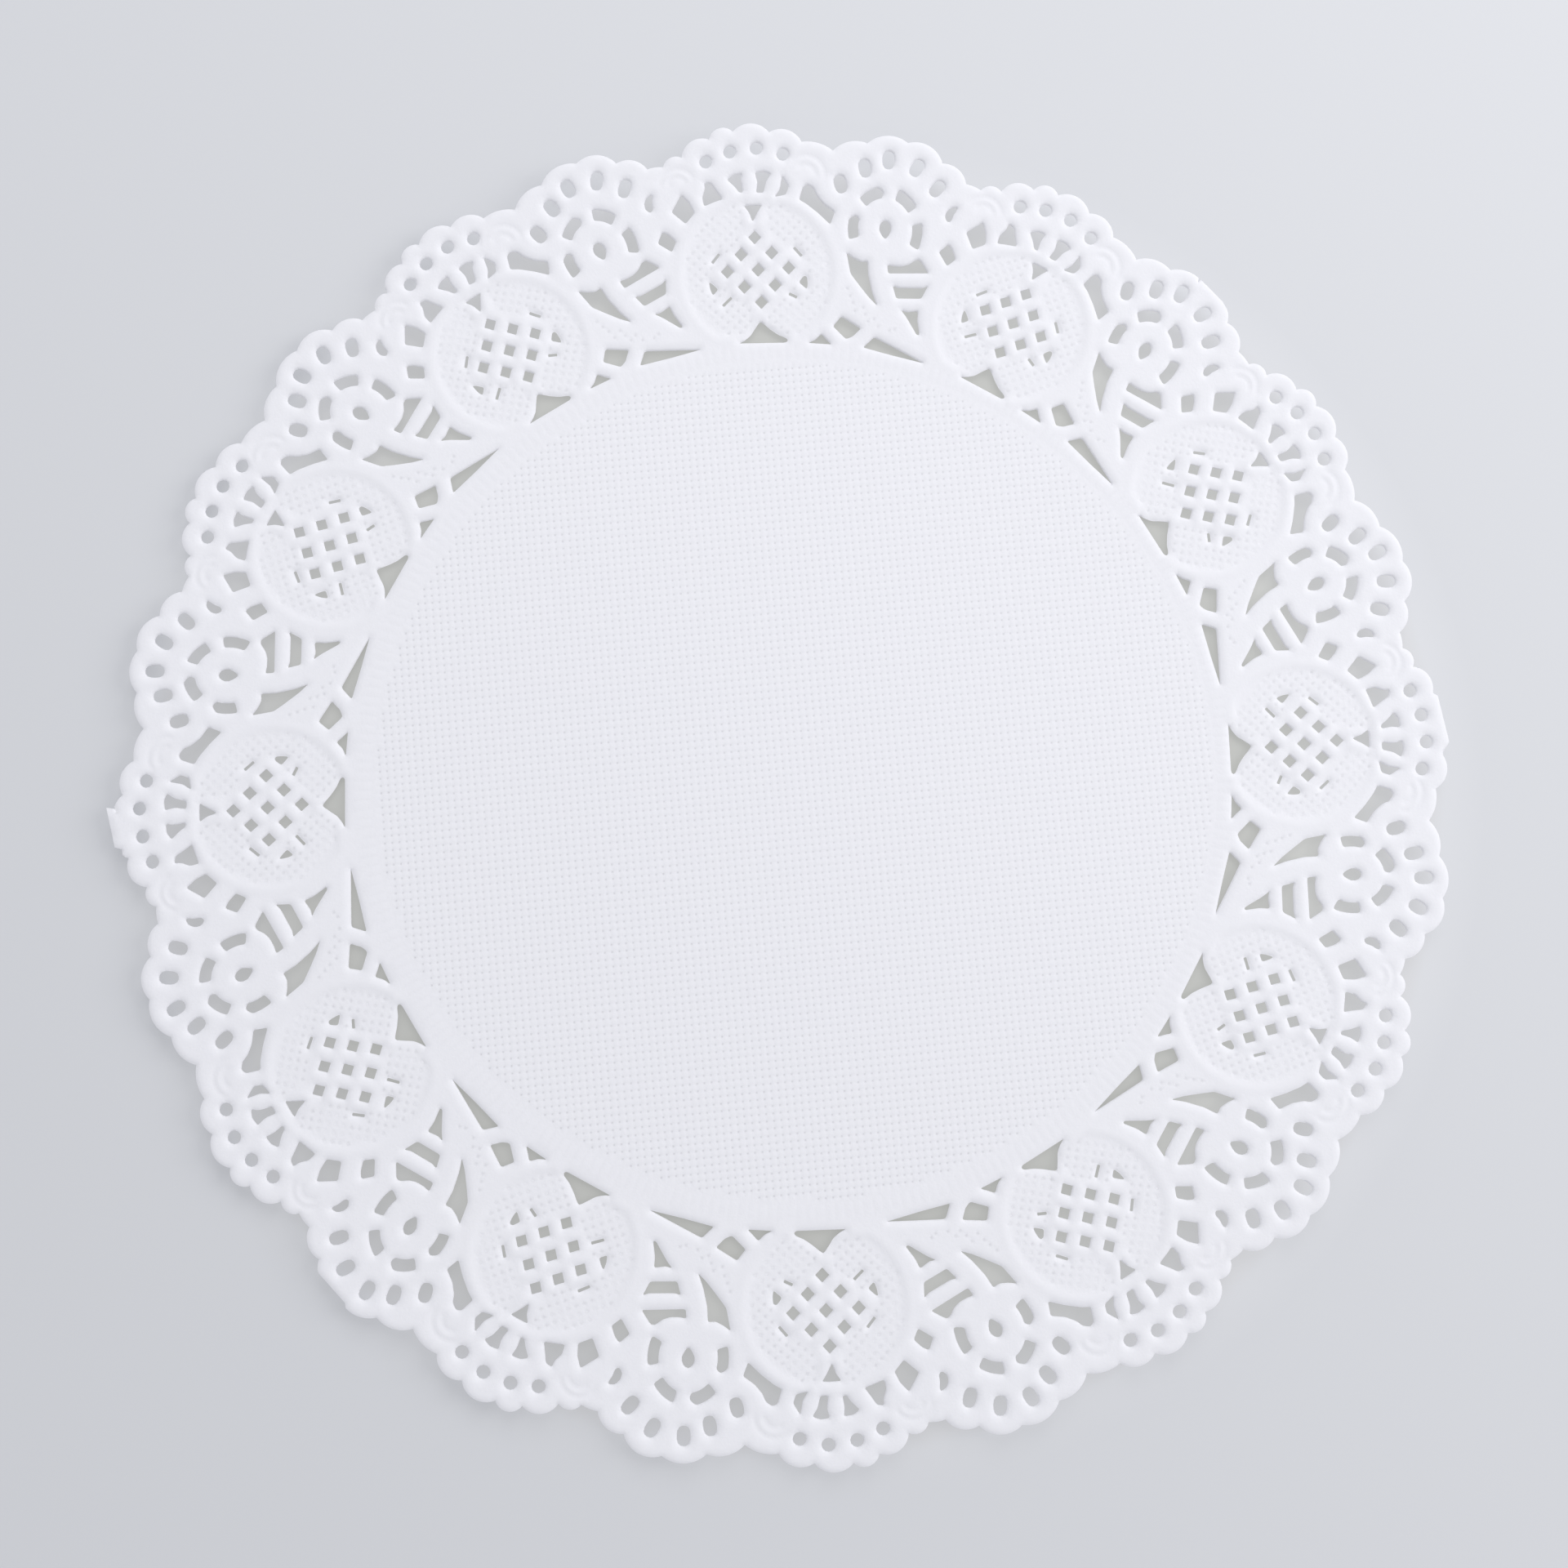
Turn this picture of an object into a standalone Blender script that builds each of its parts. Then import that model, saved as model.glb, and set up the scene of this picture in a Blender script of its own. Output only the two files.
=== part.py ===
"""Round paper lace doily: a single sheet of thin paper, die-cut into lace around a plain middle.

The lace is one repeat, drawn once and turned around the centre. Its outlines are drawn in millimetres
with Y running outwards along the middle of the repeat, then stretched to the real band of lace.
"""
import math

import bmesh
import bpy
from mathutils import Matrix, Vector

MM = 0.001

# Driving dimensions
RIM_RADIUS = 95.2 * MM  # out to the tips of the tallest scallops
LACE_INNER_RADIUS = 63.0 * MM  # ring on which the innermost holes stand
REPEATS = 12
PAPER_THICKNESS = 0.1 * MM
RIM_LIFT = 2.5 * MM  # how far the lace curls up off the table by its rim
EYELET_DIAMETER = 1.95 * MM
OVAL_WIDTH = 1.95 * MM
OVAL_LENGTH = 2.85 * MM
LATTICE_HOLE_WIDTH = 1.75 * MM
LATTICE_HOLE_HEIGHT = 1.95 * MM

# The two radii between which the repeat is drawn
DRAWN_INNER = 63.0
DRAWN_RIM = 95.2

ROUND_SIDES = 6
WELD_DISTANCE = 0.01 * MM

# Scallops of the rim, clockwise: the notch each one starts from, its rise off the chord, its facets
SCALLOPS = [
    ((-18.7, 88.1), 0.7, 2),
    ((-15.9, 90.0), 1.2, 3),
    ((-11.9, 92.7), 1.1, 3),
    ((-8.4, 93.9), 1.25, 3),
    ((-3.1, 93.9), 1.1, 3),
    ((1.7, 92.6), 0.5, 2),
    ((6.3, 91.4), 0.8, 3),
    ((11.4, 92.6), 1.1, 3),
    ((17.4, 92.8), 1.25, 3),
    ((22.5, 89.9), 0.9, 3),
    ((26.0, 86.9), 0.0, 1),
]

EYELETS = [(-12.4, 89.4), (-8.9, 90.9), (-5.0, 91.5), (-1.1, 90.7)]

# Ovals that stand around the rosette: the middle of each, and how far it leans clockwise in degrees
OVALS = [((7.4, 86.5), -15), ((11.0, 88.9), -10), ((14.5, 90.2), 0), ((18.7, 89.1), 30), ((21.7, 86.1), 42)]

# Rosette: a hole in the middle and four slots between two oval rings, by their clockwise angles
ROSETTE_CENTRE = Vector((14.0, 79.9))
ROSETTE_RING_INNER = Vector((4.0, 4.7))
ROSETTE_RING_OUTER = Vector((5.5, 6.4))
ROSETTE_SLOTS = [(-104, -67), (-44, -3), (21, 58), (81, 118)]

# Lattice of small square holes, three by three, in a panel beside the rosette
LATTICE_CENTRE = Vector((-4.7, 73.7))
LATTICE_STEP_RIGHT = Vector((2.5, -2.2))
LATTICE_STEP_LEFT = Vector((-2.0, -2.5))

# Holes with straight sides, each by its corners
FAN_SLITS = [
    [(-9.3, 86.9), (-8.4, 87.6), (-7.1, 87.8), (-6.9, 85.0), (-7.5, 85.0)],
    [(-5.2, 88.1), (-2.8, 87.9), (-3.9, 85.0), (-5.0, 85.0)],
    [(-1.2, 87.7), (-0.3, 86.0), (-0.6, 84.8), (-2.3, 84.4)],
    [(-6.8, 83.2), (-4.1, 83.2), (-5.5, 80.7)],
]
STAR = [(-12.6, 86.4), (-11.6, 86.3), (-9.9, 84.0), (-12.6, 82.9), (-12.9, 84.2)]
DIAMOND = [(-17.4, 82.0), (-16.0, 84.6), (-14.0, 81.9), (-15.3, 80.3)]
KITE = [(21.9, 76.7), (23.3, 77.9), (24.4, 75.6), (23.1, 74.6)]
KIDNEY = [(22.8, 81.9), (23.8, 83.4), (24.7, 83.3), (23.8, 81.3), (23.2, 81.1)]
BONE = [(2.3, 86.4), (1.4, 84.1), (5.9, 80.5), (6.6, 82.4), (4.2, 84.2), (3.5, 85.8)]
DAGGER = [(8.3, 76.4), (10.4, 75.1), (11.4, 75.2), (11.5, 73.1), (12.8, 68.6), (8.9, 73.3)]
STEM_BARS = [
    [(14.3, 74.7), (16.5, 74.5), (18.8, 75.6), (20.4, 73.5), (14.4, 73.4)],
    [(15.1, 71.5), (20.3, 71.5), (19.3, 69.7), (15.6, 69.7)],
    [(16.3, 68.0), (18.8, 67.9), (18.9, 64.3)],
]
INNER_TENT = [(-7.5, 62.6), (-5.6, 64.2), (-4.3, 66.0), (-2.4, 64.6), (-0.4, 63.6), (-0.6, 63.0)]
INNER_KITE = [(7.5, 67.0), (6.3, 65.5), (8.3, 63.6), (10.4, 65.2)]
INNER_WEDGE = [(10.7, 62.4), (12.4, 63.9), (19.6, 60.1), (15.2, 61.2)]


def clear_scene():
    for thing in list(bpy.data.objects):
        bpy.data.objects.remove(thing, do_unlink=True)


def stretched(point):
    """A drawn point, in metres on the real sheet: its angle stays, its radius follows the band of lace."""
    drawn = Vector(point)
    share = (drawn.length - DRAWN_INNER) / (DRAWN_RIM - DRAWN_INNER)
    return drawn.normalized() * (LACE_INNER_RADIUS + share * (RIM_RADIUS - LACE_INNER_RADIUS))


def arc(start, end, rise, facets):
    """Points of an arc from start up to, but without, end. It bulges by rise to the left of its chord."""
    chord = end - start
    if rise == 0.0:
        return [start + chord * step / facets for step in range(facets)]
    half_angle = 2 * math.atan(2 * rise / chord.length)
    radius = chord.length / 2 / math.sin(half_angle)
    along = chord.normalized()
    outwards = Vector((-along.y, along.x))
    centre = start + chord / 2 - outwards * radius * math.cos(half_angle)
    angles = [half_angle * (2 * step / facets - 1) for step in range(facets)]
    return [centre + radius * (along * math.sin(angle) + outwards * math.cos(angle)) for angle in angles]


def oval(centre, width, length, lean=0.0):
    """A round or oval hole of its own real size about a drawn centre, leaning clockwise by lean degrees."""
    turn = Matrix.Rotation(-math.radians(lean), 2)
    angles = [2 * math.pi * (side + 0.5) / ROUND_SIDES for side in range(ROUND_SIDES)]
    return [
        stretched(centre) + turn @ Vector((width / 2 * math.sin(angle), length / 2 * math.cos(angle)))
        for angle in angles
    ]


def square(centre, width, height):
    """A small hole that stands on its corner, of its own real size about a drawn centre."""
    corners = [(0, height / 2), (width / 2, 0), (0, -height / 2), (-width / 2, 0)]
    return [stretched(centre) + Vector(corner) for corner in corners]


def ring_slot(start, end):
    """A curved slot of the rosette, three points along its outer edge and two along its inner one."""

    def at(ring, degrees):
        angle = math.radians(degrees)
        return ROSETTE_CENTRE + Vector((ring.x * math.sin(angle), ring.y * math.cos(angle)))

    outer = [at(ROSETTE_RING_OUTER, degrees) for degrees in (start, (start + end) / 2, end)]
    inner = [at(ROSETTE_RING_INNER, degrees) for degrees in (end, start)]
    return [stretched(point) for point in outer + inner]


def turned(points, repeat):
    """The points of one repeat turned clockwise to their own place around the sheet."""
    turn = Matrix.Rotation(-2 * math.pi * repeat / REPEATS, 2)
    return [turn @ point for point in points]


def repeat_rim():
    """The stretch of scalloped rim that belongs to one repeat."""
    notches = [Vector(notch) for notch, rise, facets in SCALLOPS]
    ends = notches[1:] + turned(notches[:1], 1)
    points = []
    for (notch, rise, facets), end in zip(SCALLOPS, ends):
        points += arc(Vector(notch), end, rise, facets)
    return [stretched(point) for point in points]


def repeat_holes():
    """Every hole of one repeat, as outlines in metres."""
    holes = [oval(centre, EYELET_DIAMETER, EYELET_DIAMETER) for centre in EYELETS]
    holes += [oval(centre, OVAL_WIDTH, OVAL_LENGTH, lean) for centre, lean in OVALS]
    holes.append(oval(ROSETTE_CENTRE, OVAL_WIDTH, OVAL_LENGTH))
    holes += [ring_slot(start, end) for start, end in ROSETTE_SLOTS]
    for right in (-1, 0, 1):
        for left in (-1, 0, 1):
            centre = LATTICE_CENTRE + LATTICE_STEP_RIGHT * right + LATTICE_STEP_LEFT * left
            holes.append(square(centre, LATTICE_HOLE_WIDTH, LATTICE_HOLE_HEIGHT))
    straight = FAN_SLITS + STEM_BARS
    straight += [STAR, DIAMOND, KITE, KIDNEY, BONE, DAGGER, INNER_TENT, INNER_KITE, INNER_WEDGE]
    holes += [[stretched(corner) for corner in corners] for corners in straight]
    return holes


def sheet_outlines():
    """The whole rim, and every hole of every repeat."""
    rim = repeat_rim()
    holes = repeat_holes()
    outlines = [[point for repeat in range(REPEATS) for point in turned(rim, repeat)]]
    for repeat in range(REPEATS):
        outlines += [turned(hole, repeat) for hole in holes]
    return outlines


def filled_curve(name, outlines):
    """A flat 2D curve with one closed spline for each outline: the rim is filled and the holes stay open."""
    curve = bpy.data.curves.new(name, "CURVE")
    curve.dimensions = "2D"
    curve.fill_mode = "BOTH"
    for outline in outlines:
        spline = curve.splines.new("POLY")
        spline.points.add(len(outline) - 1)
        for target, point in zip(spline.points, outline):
            target.co = (point.x, point.y, 0.0, 1.0)
        spline.use_cyclic_u = True
    blank = bpy.data.objects.new(name, curve)
    bpy.context.scene.collection.objects.link(blank)
    return blank


def as_mesh(blank, name, collection):
    """The filled curve as a welded mesh object, with its triangles evened out. The curve is removed."""
    graph = bpy.context.evaluated_depsgraph_get()
    mesh = bpy.data.meshes.new_from_object(blank.evaluated_get(graph))
    place = blank.matrix_world.copy()
    bpy.data.objects.remove(blank, do_unlink=True)
    cells = bmesh.new()
    cells.from_mesh(mesh)
    bmesh.ops.remove_doubles(cells, verts=cells.verts, dist=WELD_DISTANCE)
    bmesh.ops.triangulate(cells, faces=cells.faces)
    bmesh.ops.beautify_fill(cells, faces=cells.faces, edges=cells.edges, method="AREA")
    cells.to_mesh(mesh)
    cells.free()
    mesh.name = name
    sheet = bpy.data.objects.new(name, mesh)
    sheet.matrix_world = place
    collection.objects.link(sheet)
    return sheet


def curl_up(sheet):
    """Lifts the lace evenly from its inner ring out to the rim. The plain middle stays flat."""
    band = RIM_RADIUS - LACE_INNER_RADIUS
    for vertex in sheet.data.vertices:
        radius = vertex.co.xy.length
        vertex.co.z = RIM_LIFT * max(0.0, radius - LACE_INNER_RADIUS) / band


def thicken(sheet):
    """Gives the sheet its thickness upwards, so that its underside stays on the table."""
    solidify = sheet.modifiers.new("Paper thickness", "SOLIDIFY")
    solidify.thickness = PAPER_THICKNESS
    solidify.offset = 1.0


def paper():
    material = bpy.data.materials.new("White embossed paper")
    material.use_nodes = True
    surface = material.node_tree.nodes["Principled BSDF"]
    surface.inputs["Base Color"].default_value = (0.86, 0.86, 0.88, 1.0)
    surface.inputs["Roughness"].default_value = 0.85
    surface.inputs["Metallic"].default_value = 0.0
    return material


def build():
    clear_scene()
    collection = bpy.data.collections.new("paper_lace_doily")
    bpy.context.scene.collection.children.link(collection)
    blank = filled_curve("sheet_blank", sheet_outlines())
    sheet = as_mesh(blank, "doily_sheet", collection)
    curl_up(sheet)
    thicken(sheet)
    sheet.data.materials.append(paper())


build()
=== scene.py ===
"""Finished look of the round paper lace doily.

The sheet is drawn once for one repeat of the lace, in millimetres, with X sideways (clockwise) and Y
outwards along the middle of the repeat. All points of the sheet are then joined into triangles in the
plane and lifted by functions of the place: the curl of the sheet, the rolled edges and the embossing.
"""
import math

import bpy
import numpy as np
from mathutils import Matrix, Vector
from mathutils.geometry import delaunay_2d_cdt
from mathutils.kdtree import KDTree


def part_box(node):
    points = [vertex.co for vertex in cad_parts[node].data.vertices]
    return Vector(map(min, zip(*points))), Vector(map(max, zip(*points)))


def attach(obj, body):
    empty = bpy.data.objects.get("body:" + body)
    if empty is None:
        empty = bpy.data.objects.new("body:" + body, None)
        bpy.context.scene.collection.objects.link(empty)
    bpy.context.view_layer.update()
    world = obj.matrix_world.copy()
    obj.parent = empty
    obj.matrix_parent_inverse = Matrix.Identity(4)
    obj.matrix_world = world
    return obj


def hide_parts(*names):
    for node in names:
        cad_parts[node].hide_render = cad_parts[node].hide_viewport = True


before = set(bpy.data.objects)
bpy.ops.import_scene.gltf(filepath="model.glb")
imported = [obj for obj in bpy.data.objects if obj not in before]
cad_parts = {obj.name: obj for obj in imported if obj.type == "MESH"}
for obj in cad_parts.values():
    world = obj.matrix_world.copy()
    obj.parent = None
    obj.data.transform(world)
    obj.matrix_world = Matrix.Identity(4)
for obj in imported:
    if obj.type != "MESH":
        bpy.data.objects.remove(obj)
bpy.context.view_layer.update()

# The CAD sheet's own box gives the size and the place. MM is one drawn millimetre, in metres.
sheet_low, sheet_high = (Vector(corner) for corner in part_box("doily_sheet"))
DRAWN_WIDTH = 190.0
MM = (sheet_high.x - sheet_low.x) / DRAWN_WIDTH
TABLE_MIDDLE = Vector(((sheet_low.x + sheet_high.x) / 2, (sheet_low.y + sheet_high.y) / 2, sheet_low.z))
CAD_HEIGHT = (sheet_high.z - sheet_low.z) / MM

# The sheet as a whole, in drawn millimetres. The outlines are drawn as they look from the camera's place
# on a sheet that lies SEEN_LEVEL above the table.
REPEATS = 12
REPEAT_DEGREES = 360 / REPEATS
RIM = 95.0
LACE_INNER = 63.0
PAPER = 0.12
RIM_LIFT = CAD_HEIGHT - PAPER
BOWL_POWER = 3.0
CLEARANCE = 0.3
SEEN_LEVEL = 1.9

# The camera: its place from the middle of the sheet on the table in drawn millimetres, its turn in degrees,
# its lens and sensor in millimetres, and the nearest distance that it shows in metres
CAMERA_PLACE = Vector((-3.63, -12.78, 161.9))
CAMERA_TURN = (4.103, -0.945, -0.024)
CAMERA_LENS = 26.0
CAMERA_SENSOR = 36.0
CAMERA_NEAREST = 0.005

# Where the rim stands higher or lower than the even bowl, and where it is pulled sideways (clockwise):
# the place around the sheet in degrees, the width of the swell in degrees and its size
RIM_SWELLS = [
    (-5, 18, 1.7),
    (90, 14, -0.5),
    (120, 12, 0.3),
    (180, 15, -0.3),
    (240, 15, -0.3),
    (300, 13, -0.5),
]
SWELL_POWER = 1.2
RIM_PULLS = [(133, 20, -0.5), (208, 13, 0.7), (268, 14, 0.25)]

# How the sheet is stretched in its own plane: waves around it, the place of a crest in degrees, size
STRETCHES = [(0, 0, 0.065), (2, -11, 0.16), (3, -3, 0.1)]
RIM_SPREAD = 0.12
SAFE_RADIUS = 1.0

# Paper rolls down beside every cut
EDGE_WIDTH = 0.85
EDGE_DROP = 0.29

# The plain middle: a square grid of dots, a step around it, and a ring of short radial ticks
DOT_RADIUS = 0.26
DOT_DEPTH = 0.12
MIDDLE_PITCH = 1.013
MIDDLE_TURN = 5.6
MIDDLE_CENTRE = np.array([0.8, 0.5])
MIDDLE_RADIUS = 59.3
STEP_RADIUS = 59.8
STEP_DEPTH = 0.05
STEP_WIDTH = 0.4
TICKS = 288
TICK_RINGS = (60.3, 60.8, 61.4, 61.9)
TICK_HALF = 0.11
TICK_DEPTH = 0.025
TICK_END = 0.1

# Scallops of the rim, clockwise: the notch each one starts from and how far it rises off its chord
SCALLOPS = [
    ((-18.6, 88.6), 0.75),
    ((-15.9, 90.0), 1.2),
    ((-11.9, 92.7), 1.1),
    ((-8.4, 93.9), 1.25),
    ((-3.1, 93.9), 1.1),
    ((1.7, 92.6), 0.5),
    ((6.3, 91.4), 0.8),
    ((11.4, 92.6), 1.1),
    ((17.4, 92.8), 1.25),
    ((22.5, 89.9), 0.9),
    ((26.0, 86.9), 0.12),
]

# Stretches of the rim where the waste did not break away cleanly: the corners of each, clockwise
RIM_FLAWS = [
    [(60.3, 73.4), (60.25, 72.7), (60.65, 73.1), (62.3, 71.4), (63.8, 69.8), (64.4, 68.7)],
    [(92.8, 12.1), (93.5, 11.7), (94.9, 5.0), (93.9, 3.6)],
    [(-60.6, -72.5), (-64.4, -68.5)],
    [(-93.7, -10.7), (-94.7, -10.4), (-96.1, -4.9), (-94.9, -5.05), (-94.7, -5.5)],
]

EYELETS = [(-12.4, 89.4), (-8.9, 90.9), (-5.0, 91.5), (-1.1, 90.7)]
EYELET_WIDTH = 1.9

# Ovals that stand around the rosette: the middle of each, and how far it leans clockwise in degrees
OVALS = [((7.4, 86.5), -15), ((11.0, 88.9), -10), ((14.5, 90.2), 0), ((18.7, 89.1), 30), ((21.7, 86.1), 42)]
OVAL_SIZE = (1.85, 2.75)
OVAL_FULLNESS = 2.7

ROSETTE_CENTRE = np.array([14.0, 79.9])
ROSETTE_HOLE = (1.8, 2.7)
ROSETTE_HOLE_TAPER = 0.4
ROSETTE_RING_INNER = (4.0, 4.65)
ROSETTE_RING_OUTER = (5.5, 6.4)

# Slots of the rosette: the clockwise angles each runs between, and whether its clockwise end is round.
# The corners of a round end stop short of it by these angles.
ROSETTE_SLOTS = [(-104, -67, True), (-44, -2, True), (21, 58, False), (81, 118, False)]
ROUND_END_OUTER = 9
ROUND_END_INNER = 4
SLOT_SIDES = 5

# The flower: a lattice of small squares with six dotted petals around it. LATTICE_HOLLOW says where the
# middle of a square's side stands. At 0.5 the side would be straight.
FLOWER_CENTRE = np.array([-4.7, 73.7])
LATTICE_STEP_RIGHT = np.array([2.5, -2.2])
LATTICE_STEP_LEFT = np.array([-2.0, -2.55])
LATTICE_HOLE = (2.0, 2.1)
LATTICE_HOLLOW = 0.49
FLOWER_SLITS = [
    ((-11.4, 74.7), (-10.4, 76.0)),
    ((-9.8, 68.4), (-8.6, 69.6)),
    ((0.6, 77.1), (1.7, 75.9)),
    ((-0.1, 70.3), (1.0, 69.8)),
]
SLIT_WIDTH = 0.42

# Holes with straight or slightly curved sides, each by its corners
FAN_SLITS = [
    [(-9.3, 86.9), (-8.4, 87.6), (-7.1, 87.8), (-7.2, 86.5), (-6.9, 85.0), (-7.5, 85.0), (-8.1, 85.8)],
    [(-5.2, 88.0), (-3.9, 88.2), (-2.8, 87.8), (-3.5, 86.7), (-3.9, 85.0), (-5.0, 85.0), (-4.8, 86.5)],
    [(-1.2, 87.6), (-0.2, 86.0), (-0.6, 84.8), (-2.3, 84.4), (-1.5, 85.7)],
    [(-6.8, 83.1), (-5.3, 83.2), (-4.1, 83.2), (-4.8, 82.1), (-5.5, 80.7), (-6.0, 82.0)],
]
STAR = [
    (-12.6, 86.4), (-11.6, 86.3), (-10.9, 85.3), (-9.9, 84.0),
    (-11.5, 83.4), (-12.6, 82.9), (-12.9, 84.2), (-12.5, 85.5),
]
DIAMOND = [(-17.4, 82.0), (-16.0, 84.6), (-14.8, 83.4), (-14.0, 81.9), (-15.3, 80.3)]
KITE = [(21.9, 76.7), (23.3, 77.9), (23.9, 77.1), (24.4, 75.6), (23.1, 74.6)]
KIDNEY = [
    (22.8, 81.9), (23.1, 82.8), (23.8, 83.4), (24.7, 83.4),
    (24.6, 82.9), (24.1, 82.2), (23.8, 81.3), (23.2, 81.1),
]
BONE = [
    (2.6, 86.4), (1.9, 86.1), (1.6, 85.1), (1.3, 84.1), (2.4, 83.5), (4.2, 82.1),
    (5.9, 80.5), (6.2, 81.3), (6.6, 82.4), (5.0, 83.5), (3.9, 84.8), (3.5, 85.8),
]
DAGGER = [
    (8.3, 76.4), (9.2, 75.7), (10.4, 75.1), (11.4, 75.2), (11.5, 73.1), (12.1, 70.5),
    (12.8, 68.6), (11.6, 69.8), (10.1, 71.7), (8.9, 73.3), (8.6, 74.8),
]
STEM_BARS = [
    [
        (14.3, 74.7), (15.3, 74.5), (16.5, 74.5), (17.5, 74.8), (18.5, 75.5),
        (19.1, 75.5), (19.7, 74.6), (20.4, 73.5), (14.4, 73.4),
    ],
    [(15.1, 71.6), (15.9, 71.3), (19.5, 71.3), (20.3, 71.6), (19.3, 69.7), (15.6, 69.7)],
    [(16.3, 68.0), (17.2, 67.7), (18.8, 67.9), (18.7, 66.4), (19.0, 64.3), (18.6, 64.3), (17.1, 66.9)],
]
INNER_TENT = [
    (-7.5, 62.8), (-6.6, 63.3), (-5.8, 64.0), (-5.1, 65.1), (-4.4, 66.1), (-3.9, 65.8),
    (-2.9, 65.0), (-1.7, 64.2), (-0.5, 63.7), (-0.3, 63.3), (-0.6, 63.0), (-4.1, 62.9),
]
INNER_TRIANGLE = [(2.6, 63.0), (3.7, 63.5), (4.6, 64.4), (5.3, 63.6), (6.1, 62.8)]
INNER_KITE = [(7.5, 67.0), (6.3, 65.5), (8.2, 63.6), (9.2, 64.0), (10.4, 65.2)]
INNER_WEDGE = [(10.7, 62.4), (12.3, 63.9), (12.8, 63.7), (16.6, 61.7), (19.6, 60.1), (15.1, 61.2)]
PART_SQUARES = [
    [(1.3, 72.0), (2.0, 73.0), (2.5, 72.9), (2.6, 71.9), (2.5, 71.0)],
    [(-11.9, 71.9), (-11.4, 71.6), (-10.5, 70.8), (-11.3, 69.9), (-11.7, 70.8)],
]

# The petals fill the round flower, without its lattice, the gap below the fan slits, the gap above the
# tent and all that is below PETAL_BOTTOM. LATTICE_SLOPE is the depth gained by one step of the lattice.
PETAL_REACH = 10.7
PETAL_SAG = 0.7
PETAL_BOTTOM = -9.7
LATTICE_REACH = 1.5
LATTICE_SLOPE = 2.4
FAN_GAP_MIDDLE = -5.3
FAN_GAP_HALF = 1.7
FAN_GAP_BOTTOM = 79.5
TENT_GAP_MIDDLE = -4.3
TENT_GAP_HALF = 1.1
TENT_GAP_TOP = 67.5

# A petal is pressed in over a slope that starts outside its border, with a welt outside the slope
PETAL_DEPTH = 0.15
PETAL_SLOPE_START = -0.7
PETAL_SLOPE_WIDTH = 1.0
PETAL_WELT = 0.045
PETAL_WELT_PLACE = -0.95
PETAL_WELT_WIDTH = 0.35

# Dots pressed into the petals stand on two slanted lattices, one for each half of the flower. Each starts
# from one dot and fills one side of the flower: -1 is the anticlockwise side and 1 the clockwise side.
PETAL_DOT_RADIUS = 0.36
PETAL_DOT_DEPTH = 0.16
PETAL_STEP_ALONG = np.array([1.647, 0.116])
PETAL_STEP_DOWN = np.array([-0.742, -0.858])
PETAL_STEPS_ALONG = 20
PETAL_STEPS_DOWN = 25
PETAL_STARTS = [(np.array([-11.48, 80.97]), -1), (np.array([5.57, 71.34]), 1)]
PETAL_HALF_GAP = 0.3
DOT_IN_PETAL = 0.1
DOT_FROM_EDGE = 0.65
LEAF_DOTS = [
    (8.4, 71.0), (8.8, 69.9), (9.2, 68.9), (10.7, 68.2), (9.5, 67.7), (11.0, 67.2),
    (12.3, 66.5), (11.4, 66.2), (12.9, 65.4), (14.5, 64.8), (15.3, 65.0),
]

# Shells: curved grooves around a middle, by their radii and the clockwise angles they run between
SHELLS = [
    ((2.2, 87.6), (1.5, 2.9), (-55, 105)),
    ((-16.5, 85.5), (1.4, 2.65), (-95, 70)),
]
SHELL_DEPTH = 0.12
SHELL_HALF = 0.3
SHELL_FADE = 20

# How far from a corner its easing starts, which is never more than EASED_SHARE of a side. An arc is given
# points as if it were ARC_TO_CHORD times as long as its chord.
CORNER_REACH = 0.3
SLOT_CORNER_REACH = 0.4
LATTICE_CORNER_REACH = 0.16
EASED_SHARE = 0.45
ARC_TO_CHORD = 1.1

# How finely the sheet is divided, and the gaps kept between its points. The fill covers the lace of one
# repeat, between FILL_LOW and FILL_HIGH.
EDGE_STEP = 0.5
SEARCH_STEP = 0.08
FIRST_RING = 0.25
FIRST_RING_KEPT = 0.8
FILL_STEP = 0.55
FILL_LOW = (-30, 55)
FILL_HIGH = (30, 97)
FILL_REACH = 96
FILL_FROM_RING = 0.22
FILL_FROM_DOT = 0.2
FILL_FROM_SHELL = 0.4
FILL_FROM_TICKS = 0.3
POINT_FROM_EDGE = 0.15
JOIN_TOLERANCE = 1e-5
UNDER_STEP = 4.0
UNDER_FROM_EDGE = 1.5
SHARP_DEGREES = 60

# Away from the cuts the underside lies a little lower, clear of the pits in the plain middle
UNDER_DROP = 0.06
UNDER_DROP_FROM = 0.5

# How much of the painted pit shade each kind of dot and the ticks have
PETAL_DOT_PAINTED_SHADE = 0.5
TICK_PAINTED_SHADE = 0.09

PAPER_DULL = (0.83, 0.83, 0.86, 1.0)
PAPER_BRIGHT = (0.86, 0.86, 0.89, 1.0)
# Painted shade in the pits: its colour, and how much of it is mixed into the paper where a pit is deepest
PAINTED_PIT_SHADE = (0.36, 0.36, 0.38, 1.0)
PAINTED_PIT_SHADE_SHARE = 0.3
PAPER_ROUGHNESS = 0.75
PAPER_SPECULAR = 0.3
MOTTLE_SCALE = 900.0
MOTTLE_DETAIL = 4.0
GRAIN_SCALE = 2500.0
GRAIN_DETAIL = 3.0
GRAIN_STRENGTH = 0.25
GRAIN_HEIGHT = 0.0001
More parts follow.
